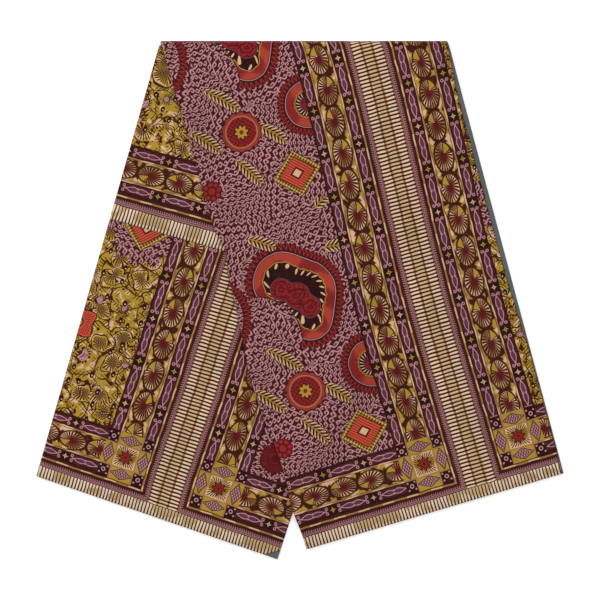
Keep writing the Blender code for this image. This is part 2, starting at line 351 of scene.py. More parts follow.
def noseRows():
    # The rounded fold that the whole strip leaves, from its foot up to the top face
    depth, waist = fold["noseDepth"], fold["noseWaist"]
    side = turnedSide(fold["lipDrop"])
    angles = [90 * i / rightSheet["noseRows"] for i in range(rightSheet["noseRows"])]
    rows = []
    lengths = []
    total = 0.0
    rise = rightHeight(Vector((0, foldY - depth))) - waist
    previous = None
    for angle in reversed(angles + [90]):
        turn = math.radians(angle)
        now = Vector((depth * math.cos(turn), rise * math.sin(turn)))
        if previous is not None:
            total += (now - previous).length
        lengths.append(total)
        previous = now
    lengths = list(reversed(lengths))
    steps = [
        (0.0, fold["gap"], lengths[0] + waist - fold["gap"]),
        (0.0, waist * 0.5, lengths[0] + waist * 0.5),
    ]
    steps += [(angle, None, length) for angle, length in zip(angles, lengths)]
    for angle, foot, length in steps:
        turn = math.radians(angle)
        below = depth * (1 - math.cos(turn))
        left = Vector((edgeX("right", "left", foldY - below), foldY - below))
        right = Vector((edgeX("right", "right", foldY - below), foldY - below))

        def noseHeight(place):
            top = rightHeight(Vector((place.x, foldY - depth))) - waist
            return foot if foot is not None else waist + top * math.sin(turn)

        row = crossSection(
            left, right, side, side, rightSheet["faceColumns"], noseHeight, rightPrint, below - depth + length
        )
        normal = Vector((0, math.cos(turn) / depth, math.sin(turn) / rise)).normalized()
        for k, (inset, drop, _) in enumerate(side[:-1]):
            # On the fold's face a side turns in towards the stack, not down
            for point, edge in ((row[k], left.x + inset), (row[-1 - k], right.x - inset)):
                z = noseHeight(Vector((edge, 0)))
                point["place"] = Vector((edge, foldY - below, z)) - normal * drop
                if foot is not None:
                    point["place"].z = foot
        rows.append(row)
    return rows


def makeRightCloth():
    side = turnedSide(fold["lipDrop"])
    columns = rightSheet["faceColumns"]
    rows = noseRows()
    for share in shares(rightSheet["rows"]):
        left = edgePoint("right", "left", fold["noseDepth"], share)
        right = edgePoint("right", "right", fold["noseDepth"], share)
        rows.append(crossSection(left, right, side, side, columns, rightHeight, rightPrint))
    return sheetFromRows("rightCloth", rows, rightSheet["thickness"])


leftSheet = {"rows": 190, "faceColumns": 64, "thickness": 0.0006, "tuck": 0.0034, "hidden": 0.0002}


def reachUnder(left, across, tuck):
    low, high = 0.0, 0.5
    for _ in range(30):
        middle = (low + high) / 2
        place = left + across * middle
        if place.x < edgeX("right", "left", place.y) + tuck:
            low = middle
        else:
            high = middle
    return low


def leftRow(share):
    left = edgePoint("left", "left", fold["leftStart"], share)
    right = edgePoint("left", "right", fold["leftStart"], share)
    return left, right, (right - left).normalized()


def makeLeftCloth():
    side = turnedSide(fold["lipDrop"])
    columns, step = leftSheet["faceColumns"], leftSheet["hidden"]
    # The edge under the right arm has as many points as a rounded side, flat in line
    hiddenSide = [(step * k, 0.0, step * (len(side) - 1 - k)) for k in range(len(side))]
    rows = []
    for share in shares(leftSheet["rows"]):
        left, right, across = leftRow(share)
        reach = reachUnder(left, across, leftSheet["tuck"])
        free = reach >= (right - left).length
        end = right if free else left + across * reach
        farSide = side if free else hiddenSide
        rows.append(crossSection(left, end, side, farSide, columns, leftHeight, leftPrint))
    return sheetFromRows("leftCloth", rows, leftSheet["thickness"])


flapSheet = {"rows": 76, "faceColumns": 56, "thickness": 0.0006, "tuck": 0.0034}


def flapHeight(place):
    return leftHeight(place) + fold["gap"] + fold["wall"]


def makeFlapCloth():
    way = runOf("left", "left").normalized()
    start = fold["leftStart"] / -way.y
    columns = flapSheet["faceColumns"]
    rows = []
    for share in shares(flapSheet["rows"]):
        left = corners["left"] + way * (start + (fold["flapLength"] - start) * share)
        slope = math.radians(fold["flapSlope"] * share)
        across = Vector((math.cos(slope), -math.sin(slope)))
        end = left + across * reachUnder(left, across, flapSheet["tuck"])
        rows.append(crossSection(left, end, plainSide, tuckedSide, columns, flapHeight, flapPrint))
    return sheetFromRows("flapCloth", rows, flapSheet["thickness"])


# The hidden layers of both arms: one solid each, with the edges of the folded layers round its sides
layers = {
    "folds": 7,
    "rows": 150,
    "columns": 36,
    "faceDrop": 0.0008,
    "inset": 0.0016,
    "groove": 0.0013,
    "stray": 0.0009,
    "strayWaves": (7, 40),
    "restInset": 0.0040,
    "lift": 0.0001,
    "noseStart": 0.0035,
    "noseDrop": 0.0012,
    "lapFloor": 0.0005,
    "lapRun": 0.004,
    "smoothAngle": 50,
}


def layerProfile():
    # Inset kind, share of the stack's height and which fold it belongs to, from the top down
    profile = []
    pitch = 1.0 / layers["folds"]
    for k in range(layers["folds"]):
        top = 1.0 - pitch * k
        profile.append(("groove", top, k))
        for drop in (0.16, 0.36, 0.64, 0.84):
            bulge = 1 - (2 * abs(drop - 0.5)) ** 2.6
            profile.append((bulge, top - drop * pitch, k))
    profile.append(("groove", 0.0, layers["folds"] - 1))
    return profile


def strayOf(place, k, seed):
    # Each folded edge lies a little further in or out than the next one
    few, many = layers["strayWaves"]
    own = noise.noise((place.x * few, place.y * few, seed + k * 3.7))
    own += 0.4 * noise.noise((place.x * many, place.y * many, seed + k * 5.1))
    return layers["stray"] * (0.55 + 0.9 * own)


def movedIn(place, ways, reach):
    # A place, moved in by some way from each edge that it lies on
    return place + sum((way * reach for way in ways), Vector((0, 0)))


def stackMesh(points, faces, maps, grid, seed, printAt):
    # Adds one arm's stack to the lists: its top, its layered side and its underside
    lastRow, lastColumn = len(grid) - 1, len(grid[0]) - 1

    def vertex(place, edgeUv, flat):
        points.append(place)
        printed = printAt(flat)
        maps["printMap"].append(printed[0])
        maps["fieldMap"].append(printed[1])
        maps["rimMap"].append((1.0, 0.0))
        maps["edgeMap"].append(edgeUv)
        return len(points) - 1

    topRows = []
    for row in grid:
        topRow = []
        for cell in row:
            plan = movedIn(cell["plan"], cell["inward"], layers["inset"])
            topRow.append(vertex(Vector((plan.x, plan.y, cell["top"])), (0.0, 1.0), plan))
        topRows.append(topRow)
    for upper, lower in zip(topRows, topRows[1:]):
        for i in range(lastColumn):
            faces.append(((upper[i], lower[i], lower[i + 1], upper[i + 1]), 0))
    loop = [(r, 0) for r in range(lastRow)] + [(lastRow, c) for c in range(lastColumn)]
    loop += [(r, lastColumn) for r in range(lastRow, 0, -1)] + [(0, c) for c in range(lastColumn, 0, -1)]
    along = [0.0]
    for (r0, c0), (r1, c1) in zip(loop, loop[1:]):
        along.append(along[-1] + (grid[r1][c1]["plan"] - grid[r0][c0]["plan"]).length)
    ring = [topRows[r][c] for r, c in loop]
    last = layers["folds"] - 1
    for kind, share, k in layerProfile() + [("rest", 0.0, last), ("rest", None, last)]:
        nextRing = []
        for n, (r, c) in enumerate(loop):
            cell = grid[r][c]
            stray = strayOf(cell["plan"], k, seed)
            reach = layers["groove"] + stray * 0.3
            if kind == "rest":
                reach = layers["restInset"] if cell["layered"] else layers["inset"]
            elif kind != "groove":
                reach = layers["groove"] * (1 - kind) + stray * 0.6 + layers["lift"]
            if not cell["layered"] and kind != "rest":
                reach = layers["inset"]
            plan = movedIn(cell["plan"], cell["inward"], reach)
            z = cell["floor"]
            if share is not None:
                z = cell["rest"] + (cell["top"] - cell["rest"]) * share + layers["lift"]
            nextRing.append(vertex(Vector((plan.x, plan.y, z)), (along[n], k + 1.0 - (share or 0.0)), plan))
        for i in range(len(ring)):
            j = (i + 1) % len(ring)
            faces.append(((ring[i], ring[j], nextRing[j], nextRing[i]), 0))
        ring = nextRing
    inner = {}
    for n, (r, c) in enumerate(loop):
        inner[(r, c)] = ring[n]
    for r in range(1, lastRow):
        for c in range(1, lastColumn):
            plan = grid[r][c]["plan"]
            inner[(r, c)] = vertex(Vector((plan.x, plan.y, grid[r][c]["floor"])), (0.0, 0.0), plan)
    for r in range(lastRow):
        for c in range(lastColumn):
            faces.append(((inner[(r, c)], inner[(r, c + 1)], inner[(r + 1, c + 1)], inner[(r + 1, c)]), 1))


def inwardWays(row, column, lastRow, lastColumn, across, down):
    ways = []
    if column == 0:
        ways.append(across)
    if column == lastColumn:
        ways.append(-across)
    if row == lastRow:
        ways.append(-down)
    return ways


def rightGrid():
    grid = []
    columns = layers["columns"]
    depth, waist = fold["noseDepth"], fold["noseWaist"]
    for angle in (0.0, 15.0, 30.0, 45.0, 60.0, 75.0):
        turn = math.radians(angle)
        below = depth * (1 - math.cos(turn))
        row = []
        for i, share in enumerate(shares(columns)):
            left = edgeX("right", "left", foldY - below)
            right = edgeX("right", "right", foldY - below)
            x = left + (right - left) * share
            rise = rightHeight(Vector((x, foldY - depth))) - waist
            normal = Vector((math.cos(turn) / depth, math.sin(turn) / rise)).normalized()
            face = Vector((foldY - below, waist + rise * math.sin(turn))) - normal * layers["noseDrop"]
            ways = inwardWays(0, i, 1, columns, Vector((1, 0)), Vector((0, -1)))
            place = Vector((x, face.x))
            row.append(
                {"plan": place, "inward": ways, "top": face.y, "rest": 0.0, "floor": 0.0, "layered": False}
            )
        grid.append(row)
    for r, share in enumerate(shares(layers["rows"])):
        left = edgePoint("right", "left", depth, share)
        right = edgePoint("right", "right", depth, share)
        across = (right - left).normalized()
        down = Vector((across.y, -across.x))
        row = []
        for i, columnShare in enumerate(shares(columns)):
            ways = inwardWays(r, i, layers["rows"], columns, across, down)
            place = left.lerp(right, columnShare)
            face = movedIn(place, ways, fold["lipRadius"])
            floor = layers["lapFloor"] * (1 - ease(beyondLeft(place) / layers["lapRun"]))
            row.append(
                {
                    "plan": place,
                    "inward": ways,
                    "top": rightHeight(face) - layers["faceDrop"],
                    "rest": rightRest(face),
                    "floor": floor,
                    "layered": r > 0,
                }
            )
        grid.append(row)
    return grid


def leftGrid():
    grid = []
    columns = layers["columns"]
    for r, share in enumerate(shares(layers["rows"])):
        left, right, across = leftRow(share)
        if r == 0:
            left = edgePoint("left", "left", layers["noseStart"], 0.0)
            right = edgePoint("left", "right", layers["noseStart"], 0.0)
        down = Vector((across.y, -across.x))
        row = []
        for i, columnShare in enumerate(shares(columns)):
            ways = inwardWays(r, i, layers["rows"], columns, across, down)
            place = left.lerp(right, columnShare)
            face = movedIn(place, ways, fold["lipRadius"])
            top = leftHeight(face) - layers["faceDrop"]
            row.append(
                {"plan": place, "inward": ways, "top": top, "rest": 0.0, "floor": 0.0, "layered": r > 0}
            )
        grid.append(row)
    return grid


def makeFoldedLayers():
    points, faces = [], []
    maps = {"printMap": [], "fieldMap": [], "rimMap": [], "edgeMap": []}
    stackMesh(points, faces, maps, rightGrid(), 20.0, rightPrint)
    stackMesh(points, faces, maps, leftGrid(), 60.0, leftPrint)
    mesh = bpy.data.meshes.new("foldedLayers")
    mesh.from_pydata([tuple(point) for point in points], [], [face for face, _ in faces])
    for polygon, (_, finish) in zip(mesh.polygons, faces):
        polygon.material_index = finish
    addMaps(mesh, maps)
    piece = bpy.data.objects.new("foldedLayers", mesh)
    scene.collection.objects.link(piece)
    deselectAll()
    piece.select_set(True)
    bpy.context.view_layer.objects.active = piece
    bpy.ops.object.mode_set(mode="EDIT")
    bpy.ops.mesh.select_all(action="SELECT")
    bpy.ops.mesh.normals_make_consistent(inside=False)
    bpy.ops.object.mode_set(mode="OBJECT")
    bpy.ops.object.shade_smooth_by_angle(angle=math.radians(layers["smoothAngle"]))
    return piece


print("cloths")
rightCloth = makeRightCloth()
leftCloth = makeLeftCloth()
flapCloth = makeFlapCloth()
print("folded layers")
foldedLayers = makeFoldedLayers()


# Inks of the print, as sRGB, and a grey for the painted shade of the lower layers' edges
inks = {
    "plum": "420f17",
    "ground": "280907",
    "mauve": "b98687",
    "lilac": "9c6c70",
    "violet": "5e3044",
    "chain": "451922",
    "olive": "a8862c",
    "tan": "9c6e44",
    "cream": "d4aa84",
    "pale": "e2c8ac",
    "brown": "3a1408",
    "red": "861e20",
    "rust": "902e2a",
    "orange": "c24a34",
    "maroon": "4e0c10",
    "shadedSlate": "5b6262",
}


def linear(hexColour):
    parts = [int(hexColour[i:i + 2], 16) / 255 for i in (0, 2, 4)]
    return tuple(c / 12.92 if c <= 0.04045 else ((c + 0.055) / 1.055) ** 2.4 for c in parts) + (1.0,)


ink = {name: linear(value) for name, value in inks.items()}


class Socket:
    # A shader socket that sums can be written on
    def __init__(self, tree, socket):
        self.tree = tree
        self.socket = socket

    def node(self, kind, settings, inputs, output=0):
        return addNode(self.tree, kind, settings, inputs, output)

    def other(self, output):
        # Another output of the same node
        return Socket(self.tree, self.socket.node.outputs[output])

    def math(self, operation, *others, clamp=False):
        settings = {"operation": operation, "use_clamp": clamp}
        return self.node("ShaderNodeMath", settings, dict(enumerate((self,) + others)))

    def vector(self, operation, other, slot=1):
        return self.node("ShaderNodeVectorMath", {"operation": operation}, {0: self, slot: other})

    def __add__(self, other):
        return self.math("ADD", other)

    __radd__ = __add__

    def __sub__(self, other):
        return self.math("SUBTRACT", other)

    def __rsub__(self, other):
        return self.math("MULTIPLY_ADD", -1.0, other)

    def __mul__(self, other):
        return self.math("MULTIPLY", other)

    __rmul__ = __mul__

    def __truediv__(self, other):
        return self.math("DIVIDE", other) if isinstance(other, Socket) else self.math("MULTIPLY", 1 / other)

    def __pow__(self, other):
        return self.math("POWER", other)

    def __abs__(self):
        return self.math("ABSOLUTE")


def addNode(tree, kind, settings, inputs, output=0):
    node = tree.nodes.new(kind)
    for name, value in settings.items():
        setattr(node, name, value)
    for name, value in inputs.items():
        if isinstance(value, Socket):
            tree.links.new(value.socket, node.inputs[name])
        else:
            node.inputs[name].default_value = value
    return Socket(tree, node.outputs[output])


def below(value, edge, soft=0.35):
    # 1 where the value is under the edge, 0 above it
    if isinstance(edge, Socket):
        return (edge - value).math("MULTIPLY_ADD", 1 / soft, 0.5, clamp=True)
    return value.math("MULTIPLY_ADD", -1 / soft, edge / soft + 0.5, clamp=True)


def above(value, edge, soft=0.35):
    if isinstance(edge, Socket):
        return (value - edge).math("MULTIPLY_ADD", 1 / soft, 0.5, clamp=True)
    return value.math("MULTIPLY_ADD", 1 / soft, 0.5 - edge / soft, clamp=True)


def within(value, middle, half, soft=0.35):
    return below(abs(value - middle), half, soft)


def blend(mask, low, high):
    return mask.node("ShaderNodeMix", {"data_type": "FLOAT"}, {0: mask, 2: low, 3: high})


def paint(ground, mask, name):
    # The ground, with an ink laid over it where the mask is 1
    return mask.node("ShaderNodeMix", {"data_type": "RGBA"}, {0: mask, 6: ground, 7: ink[name]}, 2)


def plainDye(tree, name):
    return addNode(tree, "ShaderNodeMix", {"data_type": "RGBA"}, {0: 0.0, 6: ink[name], 7: ink[name]}, 2)


def combine(x, y):
    return x.node("ShaderNodeCombineXYZ", {}, {0: x, 1: y})


def distanceTo(point, x, y):
    return point.node("ShaderNodeVectorMath", {"operation": "DISTANCE"}, {0: point, 1: (x, y, 0.0)}, 1)


def lengthOf(x, y):
    return (x * x).math("ADD", y * y).math("SQRT")


def turnOf(x, y):
    # The angle round a middle, in turns
    return y.math("ARCTAN2", x) / math.tau


def cloud(point, size, detail=0.0, output=0):
    inputs = {"Vector": point, "Scale": 1.0 / size, "Detail": detail}
    return point.node("ShaderNodeTexNoise", {"noise_dimensions": "2D"}, inputs, output)


def dice(x, y):
    return x.node("ShaderNodeTexWhiteNoise", {"noise_dimensions": "2D"}, {"Vector": combine(x, y)})


# The running scrolls that fill the dark field, in millimetres
curls = {
    "step": 7.0,
    "row": 6.3,
    "rise": 2.2,
    "ring": 1.8,
    "grow": 1.5,
    "line": 0.6,
    "open": 0.31,
    "bend": 17.0,
    "bendSize": 46.0,
    "patchSize": 34.0,
    "lean": (0.94, 0.34),  # cosine and sine of the slant of the crosswise rows
}


def paintCurls(ground, point, x, y):
    # rows of a wave with a hook in each of its bends; they run two ways and wander
    crosswise = above(cloud(point, curls["patchSize"]), 0.5, 0.01)
    bendX, bendY = xyOf(cloud(point, curls["bendSize"], 0.0, 1))
    most, some = curls["lean"]
    steps = (blend(crosswise, x, y * most + x * some) + bendX * curls["bend"]) / curls["step"]
    rows = (blend(crosswise, y, y * some - x * most) + bendY * curls["bend"]) / curls["row"]
    row = rows.math("FLOOR")
    steps = steps + dice(row, row) * 2.0
    step = steps.math("FLOOR")
    nearX = (steps - step - 0.5) * curls["step"]
    nearY = (rows - row - 0.5) * (step.math("PINGPONG", 1.0) * 2.0 - 1.0) * curls["row"]
    wave = nearY - (nearX * (math.pi / curls["step"])).math("COSINE") * curls["rise"]
    turn = turnOf(nearX, nearY)
    hook = abs(lengthOf(nearX, nearY) - turn * curls["grow"] - curls["ring"])
    hook = hook + above(turn, curls["open"], 0.03) * 3.0
    line = (abs(wave) * 0.8).math("MINIMUM", hook)
    return paint(ground, below(line, curls["line"], 0.45), "mauve")


# Round and bent wheels in the dark field, in millimetres: middle and radius of each disc, seeds and teeth
# by the turn, and depths from the rim
wheels = {
    "lobes": [(-142, 291, 40), (-163, 313, 34), (-139, 260, 25)],
    "mouth": (-209, 250, 54),
    "half": (-83.6, 190, 28),
    "side": (-261.5, 292, 45),
    "teeth": (62, 42),
    "seeds": 22,
    "band": 10.8,
    "seedDepth": 15.6,
    "body": 19.6,
    "kidney": [(-166, 304, 12), (-149, 291, 14.5), (-137, 274, 12)],
    "bentMiddle": (-146.0, 292.0),
    "sideEnd": -203.0,
    "rim": 10.6,
    "toothDepth": 4.0,
    "hatches": 236.0,
    "scallop": 2.6,
    "seedSize": (0.15, 2.9),  # half width as a share of the step, half length
    "veinSize": 17.0,
    "speckSize": 2.6,
}


def discs(point, places, smooth):
    # Rounds melted into one form: the distance from its edge
    form = None
    for x, y, radius in places:
        own = distanceTo(point, x, y) - radius
        form = own if form is None else form.math("SMOOTH_MIN", own, smooth)
    return form


def paintWheels(ground, point, x, y):
    bent = discs(point, wheels["lobes"], 18.0)
    mouthX, mouthY, mouthRadius = wheels["mouth"]
    mouth = distanceTo(point, mouthX, mouthY) - mouthRadius
    half = discs(point, [wheels["half"]], 0)
    side = discs(point, [wheels["side"]], 0)
    isHalf = below(half, bent)
    isSide = below(x, wheels["sideEnd"])
    outer = half.math("MINIMUM", side).math("MINIMUM", bent)
    form = bent.math("MINIMUM", half)
    bentX, bentY = wheels["bentMiddle"]
    middleX = blend(isSide, blend(isHalf, bentX, wheels["half"][0]), wheels["side"][0])
    middleY = blend(isHalf, bentY, wheels["half"][1])
    turn = turnOf(x - middleX, y - middleY)
    teeth = blend(isHalf, float(wheels["teeth"][0]), float(wheels["teeth"][1]))
    tooth = (turn * teeth).math("PINGPONG", 0.5)
    clear = above(mouth, 0.0).math("MAXIMUM", isSide).math("MAXIMUM", isHalf)
    rim = below(outer, wheels["rim"] - tooth * wheels["toothDepth"], 0.5) * above(outer, 0.0) * clear
    colour = paint(ground, rim, "maroon")
    zigzag = within(outer * 0.107 - 0.21, tooth * 1.9, 0.16, 0.12) * rim
    colour = paint(colour, zigzag, "rust")
    # the bent one is open to the side that its mouth cuts away
    inside = above(mouth, 1.2).math("MAXIMUM", isHalf)
    colour = paint(colour, below(form, 1.6) * clear, "ground")
    colour = paint(colour, within(form, -0.4, 0.4) * inside, "mauve")
    band = below(form, -1.5) * inside
    colour = paint(colour, band, "rust")
    shade = cloud(point, 22.0)
    colour = paint(colour, band * above(shade, 0.56, 0.1) * 0.6, "orange")
    colour = paint(colour, band * below(shade, 0.44, 0.1) * 0.8, "red")
    hatch = below((turn * wheels["hatches"]).math("PINGPONG", 0.5), 0.16, 0.1) * band
    colour = paint(colour, hatch * 0.5, "maroon")
    scallop = form + (turn * wheels["seeds"]).math("PINGPONG", 0.5) * wheels["scallop"]
    colour = paint(colour, below(scallop, -wheels["band"]) * inside, "olive")
    colour = paint(colour, below(scallop, -0.9 - wheels["band"]) * inside, "ground")
    seedTurn = (turn * wheels["seeds"] + form * 0.07).math("WRAP", 0.5, -0.5)
    seedWide, seedLong = wheels["seedSize"]
    seed = lengthOf(seedTurn / seedWide, (form + wheels["seedDepth"]) / seedLong)
    colour = paint(colour, below(seed, 1.0, 0.2) * inside, "cream")
    inner = blend(isHalf, discs(point, wheels["kidney"], 10.0), half + wheels["body"])
    body = below(inner, 0.0) * inside
    colour = paint(colour, below(inner, 1.2) * inside, "violet")
    colour = paint(colour, body, "red")
    flow = inner * 0.17 + cloud(point, wheels["veinSize"], 1.0) * 1.6
    vein = below(flow.math("PINGPONG", 0.5), 0.13, 0.08)
    speck = above(cloud(point, wheels["speckSize"]), 0.56, 0.1) * 0.7
    return paint(colour, vein.math("MAXIMUM", speck) * body, "maroon")


# Leafy sprays in the dark field, in millimetres: tip and stem
sprays = [
    ((-182, 150), (-158, 113)),
    ((-198, 240), (-163, 205)),
    ((-147, 183), (-118, 153)),
    ((-226, 197), (-196, 163)),
    ((-104, 385), (-84, 397)),
    ((-104, 337), (-82, 333)),
    ((-190, 372), (-160, 352)),
]
sprayShape = {"width": 8.4, "leaf": 5.0, "slant": 0.9, "bow": 6.0, "outline": 1.7, "stem": 0.6}


def paintSprays(ground, point, x, y):
    # Each spray claims the ground round it, so that the leaves are drawn once for all of them
    tipX = tipY = wayX = wayY = reach = None
    for (ax, ay), (bx, by) in sprays:
        length = math.hypot(bx - ax, by - ay)
        own = below(distanceTo(point, (ax + bx) / 2, (ay + by) / 2), length / 2 + 1.5, 0.1)
        values = (ax, ay, (bx - ax) / length, (by - ay) / length, length)
        if tipX is None:
            tipX, tipY, wayX, wayY, reach = [own * value for value in values]
            claimed = own
        else:
            pairs = zip((tipX, tipY, wayX, wayY, reach), values)
            tipX, tipY, wayX, wayY, reach = [blend(own, last, float(value)) for last, value in pairs]
            claimed = claimed.math("MAXIMUM", own)
    awayX, awayY = x - tipX, y - tipY
    along = awayX * wayX + awayY * wayY
    across = awayX * wayY - awayY * wayX
    share = (along / reach).math("MULTIPLY_ADD", 1.0, 0.0, clamp=True)
    across = across + (share * (1.0 - share)) * sprayShape["bow"] - 0.8
    width = (share * (1.0 - share)).math("SQRT") * sprayShape["width"] * 1.7
    leaf = (along - abs(across) * sprayShape["slant"]).math("PINGPONG", sprayShape["leaf"] / 2)
    edge = width + 0.6 - leaf * leaf * 0.8
    inside = claimed * above(along, 0.0)
    colour = paint(ground, below(abs(across), edge + sprayShape["outline"]) * inside, "ground")
    leaves = below(abs(across), edge) * inside * below(leaf, 1.05, 0.4)
    colour = paint(colour, leaves, "olive")
    colour = paint(colour, leaves * above(abs(across), width * 0.42, 0.8), "cream")
    stem = below(abs(across), sprayShape["stem"]) * inside * below(abs(across), edge)
    return paint(colour, stem, "tan")


def closeLines(x, y, step):
    # The distance from the nearest line of a slanted lattice
    return (x + y).math("PINGPONG", step).math("MINIMUM", (x - y).math("PINGPONG", step))


# A round of plain lattice work, in millimetres, with waves and petals by the turn
latticeRound = {
    "middle": (-168.5, 180),
    "radius": 23,
    "waves": 14.0,
    "waveDepth": 4.0,
    "ring": (18.6, 0.7),
    "face": 17.4,
    "lattice": (2.6, 0.6, 17.0),  # step, line, reach
    "petals": 8.0,
    "petalDepth": 7.0,
    "flower": (10.0, 8.6, 2.6),  # outline, face, eye
}


def paintRound(ground, x, y):
    middleX, middleY = latticeRound["middle"]
    nearX, nearY = x - middleX, y - middleY
    away = lengthOf(nearX, nearY)
    turn = turnOf(nearX, nearY)
    waved = away + (turn * latticeRound["waves"]).math("PINGPONG", 0.5) * latticeRound["waveDepth"]
    colour = paint(ground, below(waved, latticeRound["radius"] + 2.0), "ground")
    colour = paint(colour, below(waved, latticeRound["radius"] + 0.8), "rust")
    colour = paint(colour, within(away, *latticeRound["ring"]), "tan")
    colour = paint(colour, below(away, latticeRound["face"]), "red")
    step, line, reach = latticeRound["lattice"]
    colour = paint(colour, below(closeLines(nearX, nearY, step), line) * below(away, reach), "maroon")
    petal = away + (turn * latticeRound["petals"]).math("PINGPONG", 0.5) * latticeRound["petalDepth"]
    outline, face, eye = latticeRound["flower"]
    colour = paint(colour, below(petal, outline), "ground")
    colour = paint(colour, below(petal, face), "olive")
    return paint(colour, below(away, eye), "red")


# Lozenges with a scaled edge: two middles and half the width and height in millimetres, the rest in shares
lozenges = {
    "middles": [(-115.5, 115.0), (119.0, 334.0)],
    "half": (29.0, 27.0),
    "scale": 2.6,
    "stripe": (0.9, 1.9, 0.5),  # slant, gap, line
    "soft": 0.02,
}


def paintLozenges(ground, x, y):
    isRight = above(x, 0.0)
    (leftX, leftY), (rightX, rightY) = lozenges["middles"]
    nearX = x - blend(isRight, leftX, rightX)
    nearY = y - blend(isRight, leftY, rightY)
    halfX, halfY = lozenges["half"]
    step, soft = lozenges["scale"], lozenges["soft"]
    size = abs(nearX) / halfX + abs(nearY) / halfY
    colour = paint(ground, below(size, 1.04, soft), "ground")
    colour = paint(colour, below(size, 1.0, soft), "olive")
    scale = lengthOf((nearX + nearY).math("WRAP", step, -step), (nearX - nearY).math("WRAP", step, -step))
    colour = paint(colour, below(size, 0.97, soft) * above(scale, 2.3, 0.5), "brown")
    colour = paint(colour, below(scale, 1.0, 0.4) * below(size, 1.0, soft), "cream")
    colour = paint(colour, below(size, 0.78, soft), "ground")
    face = below(size, 0.74, soft)
    colour = paint(colour, face, "orange")
    slant, gap, line = lozenges["stripe"]
    colour = paint(colour, below((nearX * slant + nearY).math("PINGPONG", gap), line) * face, "maroon")
    colour = paint(colour, below(size, 0.3, soft), "maroon")
    return paint(colour, below(size, 0.2, soft), "cream")


# A berry flower and the dark toothed round in its place on the left arm, in millimetres
berries = {
    "middle": (-213.5, 122.5),
    "upperShift": 5.5,
    "upperFrom": 260.0,
    "count": 8.0,
    "ring": 8.3,
    "apart": 6.4,
    "heart": 1.6,
    "outline": 4.1,
    "size": 2.7,
    "shine": (0.8, 0.5),
    "round": 19.0,
    "teeth": 26.0,
    "toothDepth": 5.0,
}


def paintBerries(ground, onRight, x, y, f):
    # a ring of eight round berries about a larger one; on the left arm, a dark toothed round in its place
    middleX, middleY = berries["middle"]
    nearX = x - middleX + above(f, berries["upperFrom"], 1.0) * berries["upperShift"]
    nearY = y - middleY
    away = lengthOf(nearX, nearY)
    turn = turnOf(nearX, nearY)
    turned = (turn * berries["count"]).math("WRAP", 0.5, -0.5) * berries["apart"]
    ring = lengthOf(away - berries["ring"], turned).math("MINIMUM", away - berries["heart"])
    colour = paint(ground, onRight * below(ring, berries["outline"]), "maroon")
    colour = paint(colour, onRight * below(ring, berries["size"]), "red")
    colour = paint(colour, onRight * within(ring, *berries["shine"]), "rust")
    tooth = (turn * berries["teeth"]).math("PINGPONG", 0.5)
    toothed = (1.0 - onRight) * below(away + tooth * berries["toothDepth"], berries["round"])
    colour = paint(colour, toothed, "maroon")
    zigzag = within(away * 0.12 - tooth * 1.9, 0.9, 0.2, 0.12).math("MAXIMUM", within(away, 5.6, 0.7))
    return paint(colour, toothed * zigzag * 0.6, "red")


# The yellow field of flowers, in millimetres; strokes, spikes and petals by the turn
flowers = {
    "cell": 27.0,
    "radius": 11.4,
    "strokes": 19.0,
    "curl": 4.6,
    "patch": 8.0,
    "bend": 15.0,
    "bendSize": 21.0,
    "leaf": (5.4, 1.9, 0.62),  # reach from the vine, gap, line
    "vine": 0.7,
    "dot": 1.1,
    "round": 4.9,
    "spikes": 15.0,
    "sprig": 12.5,
    "bud": 12.0,
}


def voronoi(point, size, feature="F1", randomness=0.75):
    inputs = {"Vector": point, "Scale": 1.0 / size, "Randomness": randomness}
    settings = {"voronoi_dimensions": "2D", "feature": feature}
    return point.node("ShaderNodeTexVoronoi", settings, inputs)


